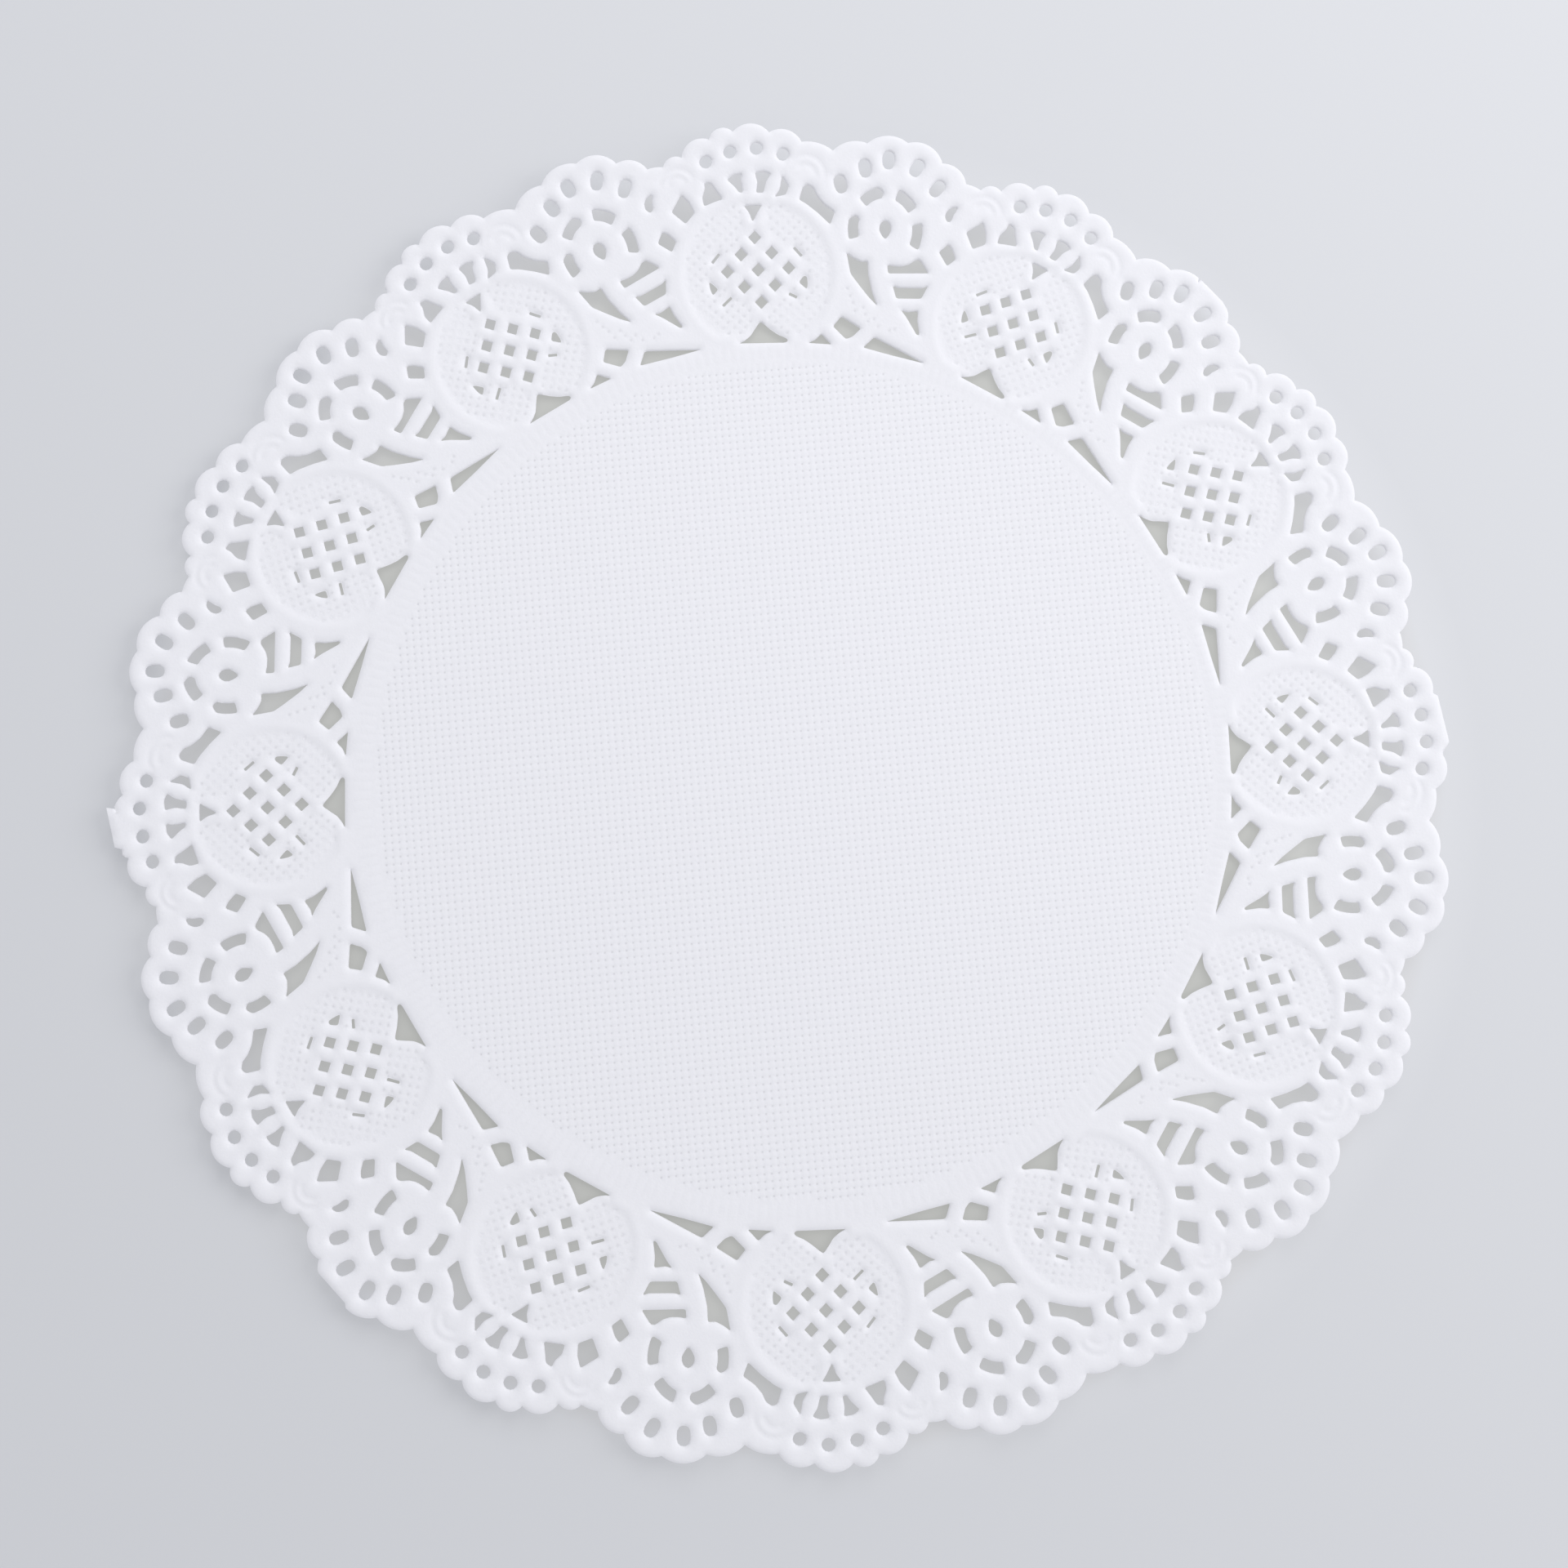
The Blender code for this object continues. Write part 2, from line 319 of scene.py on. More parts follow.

# The table is FLOOR_SIZE metres wide. Its zones run from the middle outwards: radius, colour, which is
# darker under the sheet as painted shade, and a painted glow that stands in for light that has come through
# the paper.
FLOOR_SIZE = 4.0
FLOOR_ROUGHNESS = 0.8
FLOOR_SPECULAR = 0.2
FLOOR_REACH = 120.0
FLOOR_SHADE_AND_GLOW_ZONES = [
    (0.0, (0.2, 0.2, 0.19), (0.32, 0.325, 0.315)),
    (63.0, (0.2, 0.2, 0.19), (0.33, 0.335, 0.325)),
    (73.0, (0.2, 0.2, 0.19), (0.385, 0.39, 0.385)),
    (83.0, (0.2, 0.2, 0.2), (0.405, 0.41, 0.415)),
    (91.0, (0.22, 0.22, 0.22), (0.445, 0.45, 0.47)),
    (93.0, (0.25, 0.25, 0.26), (0.43, 0.44, 0.46)),
    (99.0, (0.68, 0.69, 0.71), (0.0, 0.0, 0.0)),
]

# The middle of the painted shade and glow, the direction in which the painted glow grows stronger, towards
# the upper right where the light is stronger, and by how much for each millimetre
PAINTED_SHADE_AND_GLOW_CENTRE = (1.5, -1.5, 0.0)
PAINTED_GLOW_LEAN = (0.83, 0.55, 0.0)
PAINTED_GLOW_RISE = 0.09 / 68.0

# Soft square lights: name, place in metres from the middle of the sheet, power and colour
LIGHTS = [
    ("window_right", (0.55, 0.08, 0.33), 1.3, (1.0, 0.99, 0.99)),
    ("window_top", (0.05, 0.42, 0.38), 0.9, (0.99, 0.99, 1.0)),
]
LIGHT_SIZE = 0.35
SKY_COLOUR = (0.95, 0.96, 1.0, 1.0)
SKY_STRENGTH = 0.7


# ---------------------------------------------------------------------------------------------- drawing


def turned(points, degrees):
    """The points turned clockwise about the middle of the sheet."""
    angle = -math.radians(degrees)
    cosine, sine = math.cos(angle), math.sin(angle)
    return np.asarray(points) @ np.array([[cosine, sine], [-sine, cosine]])


def eased(corners, reach=CORNER_REACH):
    """A closed outline through straight sides, with each corner eased by a short curve."""
    corners = np.array(corners, float)
    points = []
    ends = np.roll(corners, -1, axis=0)
    starts = np.roll(corners, 1, axis=0)
    for index, corner in enumerate(corners):
        back, ahead = starts[index] - corner, ends[index] - corner
        back_length, ahead_length = np.linalg.norm(back), np.linalg.norm(ahead)
        enter = corner + back * min(reach / back_length, EASED_SHARE)
        leave = corner + ahead * min(reach / ahead_length, EASED_SHARE)
        points += [enter, (enter + 2 * corner + leave) / 4, leave]
        straight = ahead_length - min(reach, EASED_SHARE * ahead_length) * 2
        count = math.ceil(straight / EDGE_STEP)
        following = ends[index] - ahead * min(reach / ahead_length, EASED_SHARE)
        points += [leave + (following - leave) * step / count for step in range(1, count)]
    return np.array(points)


def oval(centre, size, lean=0.0, fullness=2.0):
    """A round or oval outline that leans clockwise by lean degrees. A fullness above 2 fills its corners."""
    width, height = size
    count = math.ceil(math.pi * (width + height) / 2 / EDGE_STEP)
    angles = 2 * math.pi * np.arange(count) / count
    across, up = np.sin(angles), np.cos(angles)
    reach = (np.abs(across) ** fullness + np.abs(up) ** fullness) ** (-1 / fullness)
    ring = np.stack([width / 2 * across * reach, height / 2 * up * reach], axis=1)
    return np.asarray(centre) + turned(ring, lean)


def drop(centre, size, taper):
    """An oval hole that narrows to a blunt point on the side of the sheet's middle."""
    ring = oval((0, 0), size)
    ring[:, 0] *= 1 - taper * np.clip(-2 * ring[:, 1] / size[1], 0, 1)
    return ring + centre


def lattice_square(centre):
    """A small hole that stands on its corner, with slightly hollow sides."""
    half_width, half_height = LATTICE_HOLE[0] / 2, LATTICE_HOLE[1] / 2
    side = 2**0.5 * LATTICE_HOLLOW
    ring = []
    for quarter in range(4):
        angle = quarter * math.pi / 2
        across = angle + math.pi / 4
        ring.append((half_width * math.sin(angle), half_height * math.cos(angle)))
        ring.append((side * half_width * math.sin(across), side * half_height * math.cos(across)))
    return eased(np.array(ring) + centre, LATTICE_CORNER_REACH)


def ring_slot(start, end, round_end):
    """A curved slot of the rosette with eased corners. Its clockwise end may be round."""

    def at(ring, degrees):
        angle = math.radians(degrees)
        return ROSETTE_CENTRE + (ring[0] * math.sin(angle), ring[1] * math.cos(angle))

    def side(ring, first, last):
        return [at(ring, first + (last - first) * step / SLOT_SIDES) for step in range(SLOT_SIDES + 1)]

    outer = side(ROSETTE_RING_OUTER, start, end - ROUND_END_OUTER * round_end)
    inner = side(ROSETTE_RING_INNER, end - ROUND_END_INNER * round_end, start)
    middle = np.mean([ROSETTE_RING_OUTER, ROSETTE_RING_INNER], axis=0)
    tip = [at(middle, end)] if round_end else []
    return eased(outer + tip + inner, SLOT_CORNER_REACH)


def slit(start, end):
    """A narrow slit with blunt ends."""
    start, end = np.array(start), np.array(end)
    along = (end - start) / np.linalg.norm(end - start)
    side = np.array([-along[1], along[0]]) * SLIT_WIDTH / 2
    tip = along * SLIT_WIDTH / 6
    middle = (start + end) / 2
    back = [start + side, start - tip, start - side, middle - side]
    return np.array(back + [end - side, end + tip, end + side, middle + side])


def arc(start, end, rise):
    """Points of an arc from start up to, but without, end. It bulges by rise to the left of its chord."""
    chord = end - start
    length = np.linalg.norm(chord)
    count = math.ceil(length * ARC_TO_CHORD / EDGE_STEP)
    if rise == 0.0:
        return [start + chord * step / count for step in range(count)]
    half_angle = 2 * math.atan(2 * rise / length)
    radius = length / 2 / math.sin(half_angle)
    along = chord / length
    outwards = np.array([-along[1], along[0]])
    centre = start + chord / 2 - outwards * radius * math.cos(half_angle)
    angles = [half_angle * (2 * step / count - 1) for step in range(count)]
    return [centre + radius * (along * math.sin(angle) + outwards * math.cos(angle)) for angle in angles]


def repeat_rim():
    """The stretch of scalloped rim that belongs to one repeat."""
    notches = [np.array(notch) for notch, rise in SCALLOPS]
    rises = [rise for notch, rise in SCALLOPS]
    ends = notches[1:] + [turned(notches[0], REPEAT_DEGREES)]
    points = []
    for notch, end, rise in zip(notches, ends, rises):
        points += arc(notch, end, rise)
    return np.array(points)


def with_flaws(rim):
    """The whole rim with its flawed stretches put in. Both run clockwise."""
    for corners in RIM_FLAWS:
        corners = np.array(corners)
        first = np.argmin(np.linalg.norm(rim - corners[0], axis=1))
        last = np.argmin(np.linalg.norm(rim - corners[-1], axis=1))
        stretch = []
        for start, end in zip(corners, corners[1:]):
            stretch += arc(start, end, 0.0)
        rim = np.concatenate([rim[:first], stretch, corners[-1:], rim[last + 1 :]])
    return rim


def repeat_holes():
    """Every hole of one repeat."""
    holes = [oval(centre, (EYELET_WIDTH, EYELET_WIDTH)) for centre in EYELETS]
    holes += [oval(centre, OVAL_SIZE, lean, OVAL_FULLNESS) for centre, lean in OVALS]
    holes.append(drop(ROSETTE_CENTRE, ROSETTE_HOLE, ROSETTE_HOLE_TAPER))
    holes += [ring_slot(start, end, round_end) for start, end, round_end in ROSETTE_SLOTS]
    for right in (-1, 0, 1):
        for left in (-1, 0, 1):
            centre = FLOWER_CENTRE + LATTICE_STEP_RIGHT * right + LATTICE_STEP_LEFT * left
            holes.append(lattice_square(centre))
    holes += [slit(start, end) for start, end in FLOWER_SLITS]
    straight = FAN_SLITS + STEM_BARS + PART_SQUARES
    straight += [STAR, DIAMOND, KITE, KIDNEY, BONE, DAGGER]
    straight += [INNER_TENT, INNER_TRIANGLE, INNER_KITE, INNER_WEDGE]
    return holes + [eased(corners) for corners in straight]


def around(points):
    """The points of one repeat, repeated all around the sheet."""
    return np.concatenate([turned(points, REPEAT_DEGREES * repeat) for repeat in range(REPEATS)])


def anticlockwise(outline):
    """The outline, turned round if it runs clockwise."""
    following = np.roll(outline, -1, axis=0)
    area = np.sum(outline[:, 0] * following[:, 1] - following[:, 0] * outline[:, 1])
    return outline if area > 0 else outline[::-1]


# ------------------------------------------------------------------------------------- points of the sheet


def closed_samples(outline, step):
    """Points along a closed outline, no further apart than step."""
    samples = []
    for start, end in zip(outline, np.roll(outline, -1, axis=0)):
        count = math.ceil(np.linalg.norm(end - start) / step)
        samples += [start + (end - start) * share / count for share in range(count)]
    return np.array(samples)


def tree_of(points):
    """A search tree over plane points."""
    tree = KDTree(len(points))
    for index, (x, y) in enumerate(points):
        tree.insert((x, y, 0.0), index)
    tree.balance()
    return tree


def distances(tree, points):
    """How far each plane point is from the nearest point in the tree."""
    return np.array([tree.find((x, y, 0.0))[2] for x, y in points])


def beside(outline, offset):
    """The points of an anticlockwise outline, moved to its outside by offset."""
    along = np.roll(outline, -1, axis=0) - np.roll(outline, 1, axis=0)
    along /= np.linalg.norm(along, axis=1)[:, None]
    return outline + np.stack([along[:, 1], -along[:, 0]], axis=1) * offset


def six_sided(step, low, high):
    """A grid of evenly spaced points over a rectangle, every other row moved by half a step."""
    rows = np.arange(low[1], high[1], step * math.sqrt(0.75))
    columns = np.arange(low[0], high[0], step)
    grid = []
    for row, y in enumerate(rows):
        grid.append(np.stack([columns + step / 2 * (row % 2), np.full_like(columns, y)], axis=1))
    return np.concatenate(grid)


def in_repeat(points):
    """Which points lie in the middle repeat's own slice."""
    degrees = np.degrees(np.arctan2(points[:, 0], points[:, 1]))
    return (degrees >= -REPEAT_DEGREES / 2) & (degrees < REPEAT_DEGREES / 2)


def middle_dots():
    """The square grid of dots pressed into the plain middle."""
    reach = math.ceil(LACE_INNER / MIDDLE_PITCH)
    steps = np.arange(-reach, reach + 1) * MIDDLE_PITCH
    x, y = np.meshgrid(steps, steps)
    grid = turned(np.stack([x.ravel(), y.ravel()], axis=1), -MIDDLE_TURN)
    return grid[np.linalg.norm(grid - MIDDLE_CENTRE, axis=1) < MIDDLE_RADIUS]


def petal_depth(points):
    """How far each point lies inside the petals of the middle repeat's flower, negative outside them."""
    away = points - FLOWER_CENTRE
    far = np.maximum(np.linalg.norm(away, axis=1), SAFE_RADIUS)
    to_outline = PETAL_REACH - PETAL_SAG * away[:, 1] / far - far
    steps = np.linalg.solve(np.stack([LATTICE_STEP_RIGHT, LATTICE_STEP_LEFT], axis=1), away.T)
    to_lattice = (np.abs(steps).max(axis=0) - LATTICE_REACH) * LATTICE_SLOPE
    x, y = points.T
    to_fan_gap = np.maximum(np.abs(x - FAN_GAP_MIDDLE) - FAN_GAP_HALF, FAN_GAP_BOTTOM - y)
    to_tent_gap = np.maximum(np.abs(x - TENT_GAP_MIDDLE) - TENT_GAP_HALF, y - TENT_GAP_TOP)
    to_bottom = away[:, 1] - PETAL_BOTTOM
    return np.min([to_outline, to_lattice, to_fan_gap, to_tent_gap, to_bottom], axis=0)


def petal_dots(edge_tree):
    """The dots of one flower's petals and of the leaf beside it."""
    dots = []
    for start, half in PETAL_STARTS:
        for along in range(-PETAL_STEPS_ALONG, PETAL_STEPS_ALONG + 1):
            for down in range(-PETAL_STEPS_DOWN, PETAL_STEPS_DOWN + 1):
                dot = start + PETAL_STEP_ALONG * along + PETAL_STEP_DOWN * down
                if (dot[0] - FLOWER_CENTRE[0]) * half > PETAL_HALF_GAP:
                    dots.append(dot)
    dots = np.array(dots)
    dots = np.concatenate([dots[petal_depth(dots) > DOT_IN_PETAL], LEAF_DOTS])
    return dots[distances(edge_tree, dots) > DOT_FROM_EDGE]


def rings_around(dots, radius, count=4):
    """A small ring of points around every dot."""
    angles = 2 * math.pi * (np.arange(count) + 0.5) / count
    ring = np.stack([np.sin(angles), np.cos(angles)], axis=1) * radius
    return (dots[:, None, :] + ring[None, :, :]).reshape(-1, 2)


def shell_points():
    """Points along the grooves of one repeat's shells, and along both sides of each."""
    points = []
    for middle, radii, (start, end) in SHELLS:
        for radius in radii:
            for aside in (-2 * SHELL_HALF, -SHELL_HALF, 0, SHELL_HALF, 2 * SHELL_HALF):
                count = math.ceil(math.radians(end - start) * (radius + aside) / EDGE_STEP)
                angles = np.radians(np.linspace(start, end, count + 1))
                ring = np.stack([np.sin(angles), np.cos(angles)], axis=1) * (radius + aside)
                points.append(ring + middle)
    return np.concatenate(points)


def circle(radius, count):
    """Evenly spaced points on a circle."""
    angles = 2 * math.pi * np.arange(count) / count
    return np.stack([radius * np.sin(angles), radius * np.cos(angles)], axis=1)


# --------------------------------------------------------------------------------------------- heights


def bell(distance, width):
    """A smooth bump, 1 at distance 0."""
    return np.exp(-((distance / width) ** 2) / 2)


def angle_from(degrees, place):
    """How far each angle is from a place around the sheet, in degrees."""
    return (degrees - place + 180) % 360 - 180


def rim_share(points):
    """0 on the ring where the lace begins, 1 at the rim."""
    radius = np.linalg.norm(points, axis=1)
    return np.clip((radius - LACE_INNER) / (RIM - LACE_INNER), 0, None)


def swell(points, places):
    """Sum of smooth swells around the sheet, at each point."""
    degrees = np.degrees(np.arctan2(points[:, 0], points[:, 1]))
    return sum(size * bell(angle_from(degrees, place), width) for place, width, size in places)


def bowl(points):
    """Height of the even bowl that the sheet makes."""
    return CLEARANCE + RIM_LIFT * (np.linalg.norm(points, axis=1) / RIM) ** BOWL_POWER


def curl(points):
    """Height of the smooth sheet: the bowl, with its rim lifted more on one side."""
    return bowl(points) + swell(points, RIM_SWELLS) * rim_share(points) ** SWELL_POWER


def in_plan(points):
    """Where the drawn points lie in plan. The sheet is drawn as it looks from the camera's place, where what
    stands above SEEN_LEVEL looks too large. It is also stretched a little and its rim pulled sideways."""
    foot = np.array(CAMERA_PLACE.xy)
    nearness = (CAMERA_PLACE.z - bowl(points)) / (CAMERA_PLACE.z - SEEN_LEVEL)
    plan = foot + (points - foot) * nearness[:, None]
    radius = np.linalg.norm(plan, axis=1)
    angle = np.arctan2(plan[:, 0], plan[:, 1])
    share = np.clip(radius / LACE_INNER, 0, 1) ** 2
    outwards, sideways = RIM_SPREAD * rim_share(points), swell(points, RIM_PULLS) * rim_share(points)
    for waves, crest, size in STRETCHES:
        outwards = outwards + size * share * np.cos(waves * (angle - math.radians(crest)))
        sideways = sideways - size * share * np.sin(waves * (angle - math.radians(crest)))
    radius = radius + outwards
    angle = angle + sideways / np.maximum(radius, SAFE_RADIUS)
    return np.stack([radius * np.sin(angle), radius * np.cos(angle)], axis=1)


def to_middle_repeat(points):
    """Every point turned back into the middle repeat's own slice."""
    degrees = np.degrees(np.arctan2(points[:, 0], points[:, 1]))
    own = (degrees + REPEAT_DEGREES / 2) // REPEAT_DEGREES
    angles = np.radians(own * REPEAT_DEGREES)
    x = points[:, 0] * np.cos(angles) - points[:, 1] * np.sin(angles)
    y = points[:, 0] * np.sin(angles) + points[:, 1] * np.cos(angles)
    return np.stack([x, y], axis=1)


def pit(distance, radius):
    """A round pit: 1 in its middle, 0 from its radius on."""
    return np.clip(1 - (distance / radius) ** 2, 0, None)


def pressed_petals(points):
    """Height of the petals: each is pressed in, with a soft welt around it."""
    depth = petal_depth(to_middle_repeat(points))
    share = np.clip((depth - PETAL_SLOPE_START) / PETAL_SLOPE_WIDTH, 0, 1)
    welt = PETAL_WELT * bell(depth - PETAL_WELT_PLACE, PETAL_WELT_WIDTH)
    return welt - PETAL_DEPTH * share * share * (3 - 2 * share)


def pressed_shells(points):
    """Height of the small shells between the lobes of the rim: curved grooves that fade out at both ends."""
    x, y = to_middle_repeat(points).T
    height = np.zeros(len(points))
    for (middle_x, middle_y), radii, (start, end) in SHELLS:
        away = np.hypot(x - middle_x, y - middle_y)
        turn = (np.degrees(np.arctan2(x - middle_x, y - middle_y)) - start) % 360
        ends = np.clip(np.minimum(turn, end - start - turn) / SHELL_FADE, 0, 1)
        for radius in radii:
            height -= SHELL_DEPTH * bell(away - radius, SHELL_HALF) * ends
    return height


def rolled_edge(distance):
    """How far the paper rolls down beside a cut, as a height."""
    return -EDGE_DROP * np.clip(1 - distance / EDGE_WIDTH, 0, None) ** 2


def ticks(points):
    """Short radial grooves around the plain middle: 1 along the middle of each, 0 away from it."""
    x, y = (points - MIDDLE_CENTRE).T
    radius = np.hypot(x, y)
    turns = np.arctan2(x, y) / (2 * math.pi) * TICKS
    aside = (turns - np.round(turns)) * 2 * math.pi * radius / TICKS
    inside = (radius > TICK_RINGS[0] - TICK_END) & (radius < TICK_RINGS[-1] + TICK_END)
    return inside * bell(aside, TICK_HALF)


# ------------------------------------------------------------------------------------------ the sheet


def triangles(points, outlines):
    """Joins plane points into the triangles that lie on the paper, leaving every hole open.

    The points begin with those of the outlines, and the first outline is the rim. A triangle on the paper
    is inside the rim alone. Also returned are the given points that each made point stands for."""
    edges, faces, start = [], [], 0
    for outline in outlines:
        face = list(range(start, start + len(outline)))
        edges += list(zip(face, face[1:] + face[:1]))
        faces.append(face)
        start += len(outline)
    plane = [Vector(point) for point in points]
    made = delaunay_2d_cdt(plane, edges, faces, 0, JOIN_TOLERANCE)
    vertices, cells, from_points, from_faces = made[0], made[2], made[3], made[5]
    paper = [cell for cell, source in zip(cells, from_faces) if list(source) == [0]]
    return np.array([tuple(vertex) for vertex in vertices]), np.array(paper), from_points


def points_of_top(outlines, holes, edge_tree, centre_dots, repeat_dots):
    """All plane points of the upper face, those of the outlines first."""
    rim = outlines[0]
    rim_stretch = beside(rim, -FIRST_RING)[: len(repeat_rim())]
    first_ring = np.concatenate([*(beside(hole, FIRST_RING) for hole in holes), rim_stretch])
    first_ring = first_ring[distances(edge_tree, first_ring) > FIRST_RING_KEPT * FIRST_RING]

    shells = shell_points()
    dot_tree = tree_of(np.concatenate([centre_dots, around(repeat_dots)]))
    fill = six_sided(FILL_STEP, FILL_LOW, FILL_HIGH)
    radius = np.linalg.norm(fill, axis=1)
    fill = fill[in_repeat(fill) & (radius > TICK_RINGS[-1]) & (radius < FILL_REACH)]
    fill = fill[distances(edge_tree, fill) > FIRST_RING + FILL_FROM_RING]
    fill = fill[distances(dot_tree, fill) > DOT_RADIUS + FILL_FROM_DOT]
    fill = fill[distances(tree_of(shells), fill) > FILL_FROM_SHELL]
    fill = around(fill)
    fill = fill[np.linalg.norm(fill - MIDDLE_CENTRE, axis=1) > TICK_RINGS[-1] + FILL_FROM_TICKS]

    bands = [circle(STEP_RADIUS, 2 * TICKS)] + [circle(radius, 4 * TICKS) for radius in TICK_RINGS]
    bands = np.concatenate(bands) + MIDDLE_CENTRE
    pit_rings = [rings_around(centre_dots, DOT_RADIUS), around(rings_around(repeat_dots, PETAL_DOT_RADIUS))]
    dots = [centre_dots, around(repeat_dots)]
    inner = np.concatenate([*dots, *pit_rings, bands, around(first_ring), fill, around(shells)])
    return np.concatenate([*outlines, inner[distances(edge_tree, inner) > POINT_FROM_EDGE]])


def walls_between(outlines, top_sources, low_sources, offset):
    """The cut edge: faces that join the upper face to the lower one, whose points start at offset."""
    cut = sum(len(outline) for outline in outlines)
    top_of = {given: made for made, group in enumerate(top_sources) for given in group if given < cut}
    low_of = {given: made for made, group in enumerate(low_sources) for given in group if given < cut}
    walls, start = [], 0
    for number, outline in enumerate(outlines):
        count = len(outline)
        for index in range(count):
            here, there = start + index, start + (index + 1) % count
            if number > 0:
                here, there = there, here
            walls.append((top_of[here], low_of[here] + offset, low_of[there] + offset, top_of[there]))
        start += count
    return walls


def build_sheet():
    """The whole sheet as one closed mesh, with how far each point is pressed in kept for the painted shade
    of the material.
    """
    holes = [anticlockwise(hole) for hole in repeat_holes()]
    rim = anticlockwise(with_flaws(around(repeat_rim())))
    outlines = [rim]
    for repeat in range(REPEATS):
        outlines += [turned(hole, REPEAT_DEGREES * repeat) for hole in holes]

    # Search trees over every cut edge and over the dots
    hole_edges = np.concatenate([closed_samples(hole, SEARCH_STEP) for hole in holes])
    edge_tree = tree_of(np.concatenate([around(hole_edges), closed_samples(rim, SEARCH_STEP)]))
    centre_dots = middle_dots()
    repeat_dots = petal_dots(edge_tree)
    centre_tree = tree_of(centre_dots)
    petal_tree = tree_of(around(repeat_dots))

    # The upper face with its embossing
    given = points_of_top(outlines, holes, edge_tree, centre_dots, repeat_dots)
    plane, cells, sources = triangles(given, outlines)
    pits = pit(distances(centre_tree, plane), DOT_RADIUS)
    petal_pits = pit(distances(petal_tree, plane), PETAL_DOT_RADIUS)
    height = curl(plane) + rolled_edge(distances(edge_tree, plane))
    height = height - DOT_DEPTH * pits - PETAL_DOT_DEPTH * petal_pits
    height += pressed_petals(plane) + pressed_shells(plane) - TICK_DEPTH * ticks(plane)
    height -= STEP_DEPTH * bell(np.linalg.norm(plane - MIDDLE_CENTRE, axis=1) - STEP_RADIUS, STEP_WIDTH)
    top = np.column_stack([in_plan(plane), height])

    # The lower face, which is smooth and needs few points
    under = six_sided(UNDER_STEP, (-RIM, -RIM), (RIM, RIM))
    under = under[np.linalg.norm(under, axis=1) < RIM]
    under = under[distances(edge_tree, under) > UNDER_FROM_EDGE]
    low_plane, low_cells, low_sources = triangles(np.concatenate([*outlines, under]), outlines)
    low_to_edge = distances(edge_tree, low_plane)
    low_height = curl(low_plane) + rolled_edge(low_to_edge) - PAPER
    low_height -= UNDER_DROP * (low_to_edge > UNDER_DROP_FROM)
    low = np.column_stack([in_plan(low_plane), low_height])

    points = np.concatenate([top, low]) * MM + TABLE_MIDDLE
    faces = [tuple(cell) for cell in cells]
    faces += [tuple(cell[::-1] + len(top)) for cell in low_cells]
    faces += walls_between(outlines, sources, low_sources, len(top))
    mesh = bpy.data.meshes.new("paper_lace_sheet")
    mesh.from_pydata([tuple(point) for point in points], [], faces)
    mesh.polygons.foreach_set("use_smooth", [True] * len(mesh.polygons))
    mesh.set_sharp_from_angle(angle=math.radians(SHARP_DEGREES))
    mesh.update()

    # The pressed share drives painted shade in the paper: full in the middle's dots, weaker in the petal
    # dots and the ticks
    pressed = mesh.attributes.new("pressed", "FLOAT", "POINT")
    depth = np.clip(pits + PETAL_DOT_PAINTED_SHADE * petal_pits + TICK_PAINTED_SHADE * ticks(plane), 0, 1)
    pressed.data.foreach_set("value", np.concatenate([depth, np.zeros(len(low))]))
    made_sheet = bpy.data.objects.new("paper_lace_sheet", mesh)
    bpy.context.scene.collection.objects.link(made_sheet)
    return made_sheet


# ------------------------------------------------------------------------------------------ materials


def paper_material():
    """White paper with a faint mottle and a fine grain, slightly greyer where it is pressed, as painted
    shade.
    """
    material = bpy.data.materials.new("White embossed paper")
    material.use_nodes = True
    nodes, links = material.node_tree.nodes, material.node_tree.links
    surface = nodes["Principled BSDF"]
    surface.inputs["Roughness"].default_value = PAPER_ROUGHNESS
    surface.inputs["Specular IOR Level"].default_value = PAPER_SPECULAR
    place = nodes.new("ShaderNodeTexCoord")
    mottle = nodes.new("ShaderNodeTexNoise")
    mottle.inputs["Scale"].default_value = MOTTLE_SCALE
    mottle.inputs["Detail"].default_value = MOTTLE_DETAIL
    links.new(place.outputs["Object"], mottle.inputs["Vector"])
    tint = nodes.new("ShaderNodeMix")
    tint.data_type = "RGBA"
    tint.inputs["A"].default_value = PAPER_DULL
    tint.inputs["B"].default_value = PAPER_BRIGHT
    links.new(mottle.outputs["Fac"], tint.inputs["Factor"])
    # Painted shade: the paper colour is mixed towards the pit colour by the pressed share
    pressed = nodes.new("ShaderNodeAttribute")
    pressed.attribute_name = "pressed"
    share = nodes.new("ShaderNodeMath")
    share.operation = "MULTIPLY"
    share.inputs[1].default_value = PAINTED_PIT_SHADE_SHARE
    links.new(pressed.outputs["Fac"], share.inputs[0])
    pit_shade_mix = nodes.new("ShaderNodeMix")
    pit_shade_mix.data_type = "RGBA"
    pit_shade_mix.inputs["B"].default_value = PAINTED_PIT_SHADE
    links.new(share.outputs["Value"], pit_shade_mix.inputs["Factor"])
    links.new(tint.outputs["Result"], pit_shade_mix.inputs["A"])
    links.new(pit_shade_mix.outputs["Result"], surface.inputs["Base Color"])
    grain = nodes.new("ShaderNodeTexNoise")
    grain.inputs["Scale"].default_value = GRAIN_SCALE
    grain.inputs["Detail"].default_value = GRAIN_DETAIL
    links.new(place.outputs["Object"], grain.inputs["Vector"])
    bump = nodes.new("ShaderNodeBump")
    bump.inputs["Strength"].default_value = GRAIN_STRENGTH
    bump.inputs["Distance"].default_value = GRAIN_HEIGHT
    links.new(grain.outputs["Fac"], bump.inputs["Height"])
    links.new(bump.outputs["Normal"], surface.inputs["Normal"])
    return material


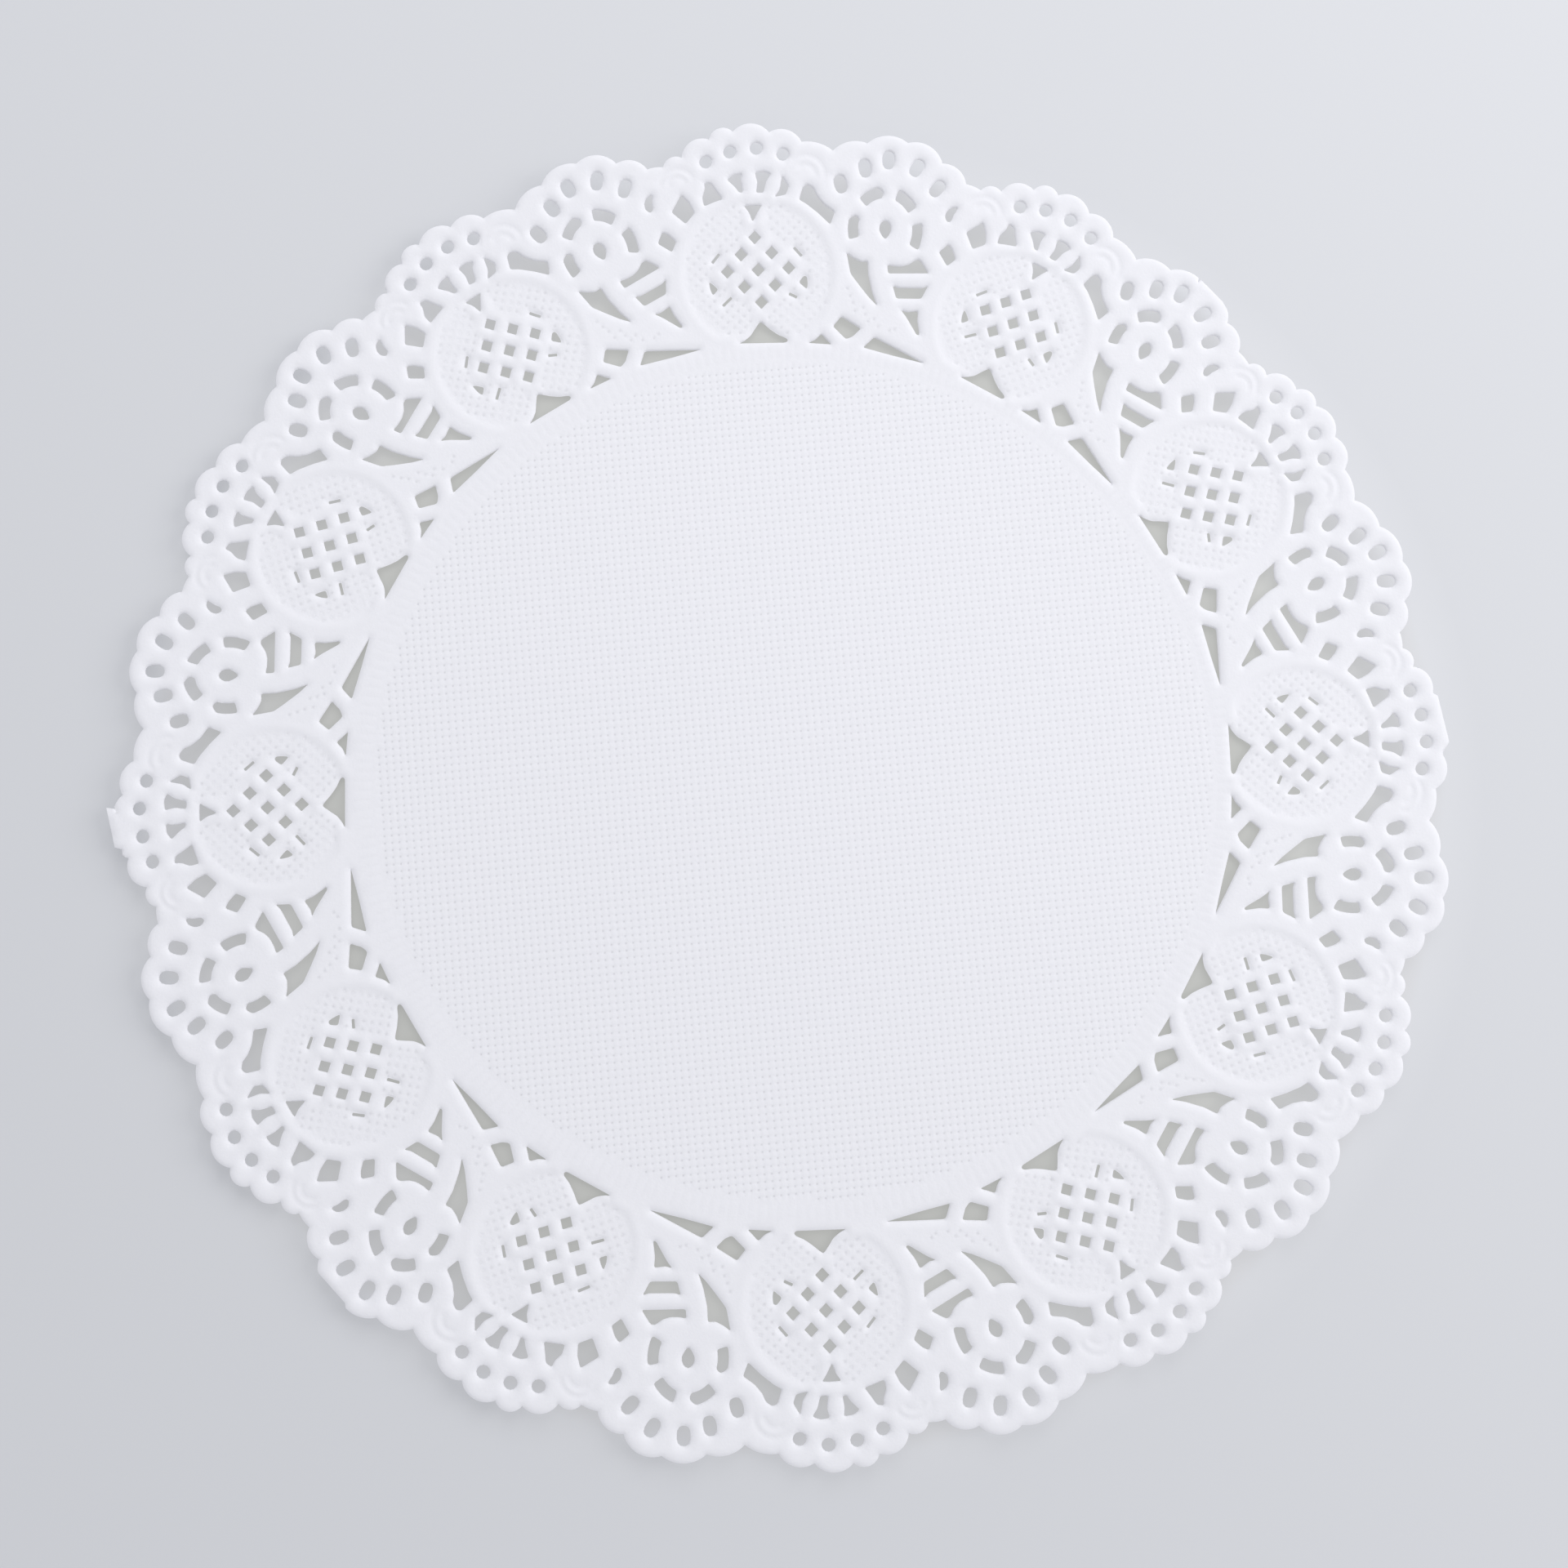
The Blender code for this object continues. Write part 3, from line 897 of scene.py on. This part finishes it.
def floor_material():
    """A pale table, painted darker under the sheet as shade, with a painted glow for light through the
    paper.
    """
    material = bpy.data.materials.new("Pale table, painted shade and glow")
    material.use_nodes = True
    nodes, links = material.node_tree.nodes, material.node_tree.links
    surface = nodes["Principled BSDF"]
    surface.inputs["Roughness"].default_value = FLOOR_ROUGHNESS
    surface.inputs["Specular IOR Level"].default_value = FLOOR_SPECULAR
    place = nodes.new("ShaderNodeTexCoord")
    away = nodes.new("ShaderNodeVectorMath")
    away.operation = "DISTANCE"
    away.inputs[1].default_value = [part * MM for part in PAINTED_SHADE_AND_GLOW_CENTRE]
    links.new(place.outputs["Object"], away.inputs[0])
    across = nodes.new("ShaderNodeMath")
    across.operation = "DIVIDE"
    across.inputs[1].default_value = FLOOR_REACH * MM
    links.new(away.outputs["Value"], across.inputs[0])
    # Base colour: painted shade under the sheet. Emission: a painted glow standing in for light through the
    # paper.
    for column, socket in ((1, "Base Color"), (2, "Emission Color")):
        ramp = nodes.new("ShaderNodeValToRGB")
        ramp.color_ramp.interpolation = "LINEAR"
        stops = ramp.color_ramp.elements
        for index, zone in enumerate(FLOOR_SHADE_AND_GLOW_ZONES):
            stop = stops[index] if index < 2 else stops.new(zone[0] / FLOOR_REACH)
            stop.position = zone[0] / FLOOR_REACH
            stop.color = (*zone[column], 1.0)
        links.new(across.outputs["Value"], ramp.inputs["Fac"])
        links.new(ramp.outputs["Color"], surface.inputs[socket])
    # The painted glow grows stronger towards the upper right
    lean = nodes.new("ShaderNodeVectorMath")
    lean.operation = "DOT_PRODUCT"
    lean.inputs[1].default_value = PAINTED_GLOW_LEAN
    links.new(place.outputs["Object"], lean.inputs[0])
    strength = nodes.new("ShaderNodeMath")
    strength.operation = "MULTIPLY_ADD"
    strength.inputs[1].default_value = PAINTED_GLOW_RISE / MM
    strength.inputs[2].default_value = 1.0
    links.new(lean.outputs["Value"], strength.inputs[0])
    links.new(strength.outputs["Value"], surface.inputs["Emission Strength"])
    return material


# ------------------------------------------------------------------------------- floor, light and camera


def add_floor():
    """A wide plain table under the sheet."""
    bpy.ops.mesh.primitive_plane_add(size=FLOOR_SIZE, location=TABLE_MIDDLE)
    floor = bpy.context.object
    floor.name = "floor"
    floor.data.materials.append(floor_material())


def add_camera():
    """The camera above the sheet, which looks almost straight down."""
    data = bpy.data.cameras.new("camera")
    data.lens = CAMERA_LENS
    data.sensor_width = CAMERA_SENSOR
    data.clip_start = CAMERA_NEAREST
    camera = bpy.data.objects.new("camera", data)
    camera.location = TABLE_MIDDLE + CAMERA_PLACE * MM
    camera.rotation_euler = [math.radians(turn) for turn in CAMERA_TURN]
    bpy.context.scene.collection.objects.link(camera)
    bpy.context.scene.camera = camera


def add_lights():
    """Pale light from all around, and two soft windows that shine on the middle of the sheet."""
    world = bpy.data.worlds.new("studio")
    world.use_nodes = True
    background = world.node_tree.nodes["Background"]
    background.inputs["Color"].default_value = SKY_COLOUR
    background.inputs["Strength"].default_value = SKY_STRENGTH
    bpy.context.scene.world = world
    for name, place, power, colour in LIGHTS:
        data = bpy.data.lights.new(name, "AREA")
        data.shape = "SQUARE"
        data.size = LIGHT_SIZE
        data.energy = power
        data.color = colour
        light = bpy.data.objects.new(name, data)
        light.location = TABLE_MIDDLE + Vector(place)
        direction = TABLE_MIDDLE - light.location
        light.rotation_euler = direction.to_track_quat("-Z", "Y").to_euler()
        bpy.context.scene.collection.objects.link(light)


# The plain transform keeps the near-white tones of the paper and the table apart
bpy.context.scene.view_settings.view_transform = "Standard"
sheet = build_sheet()
sheet.data.materials.append(paper_material())
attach(sheet, "root")
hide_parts("doily_sheet")
add_floor()
add_lights()
add_camera()
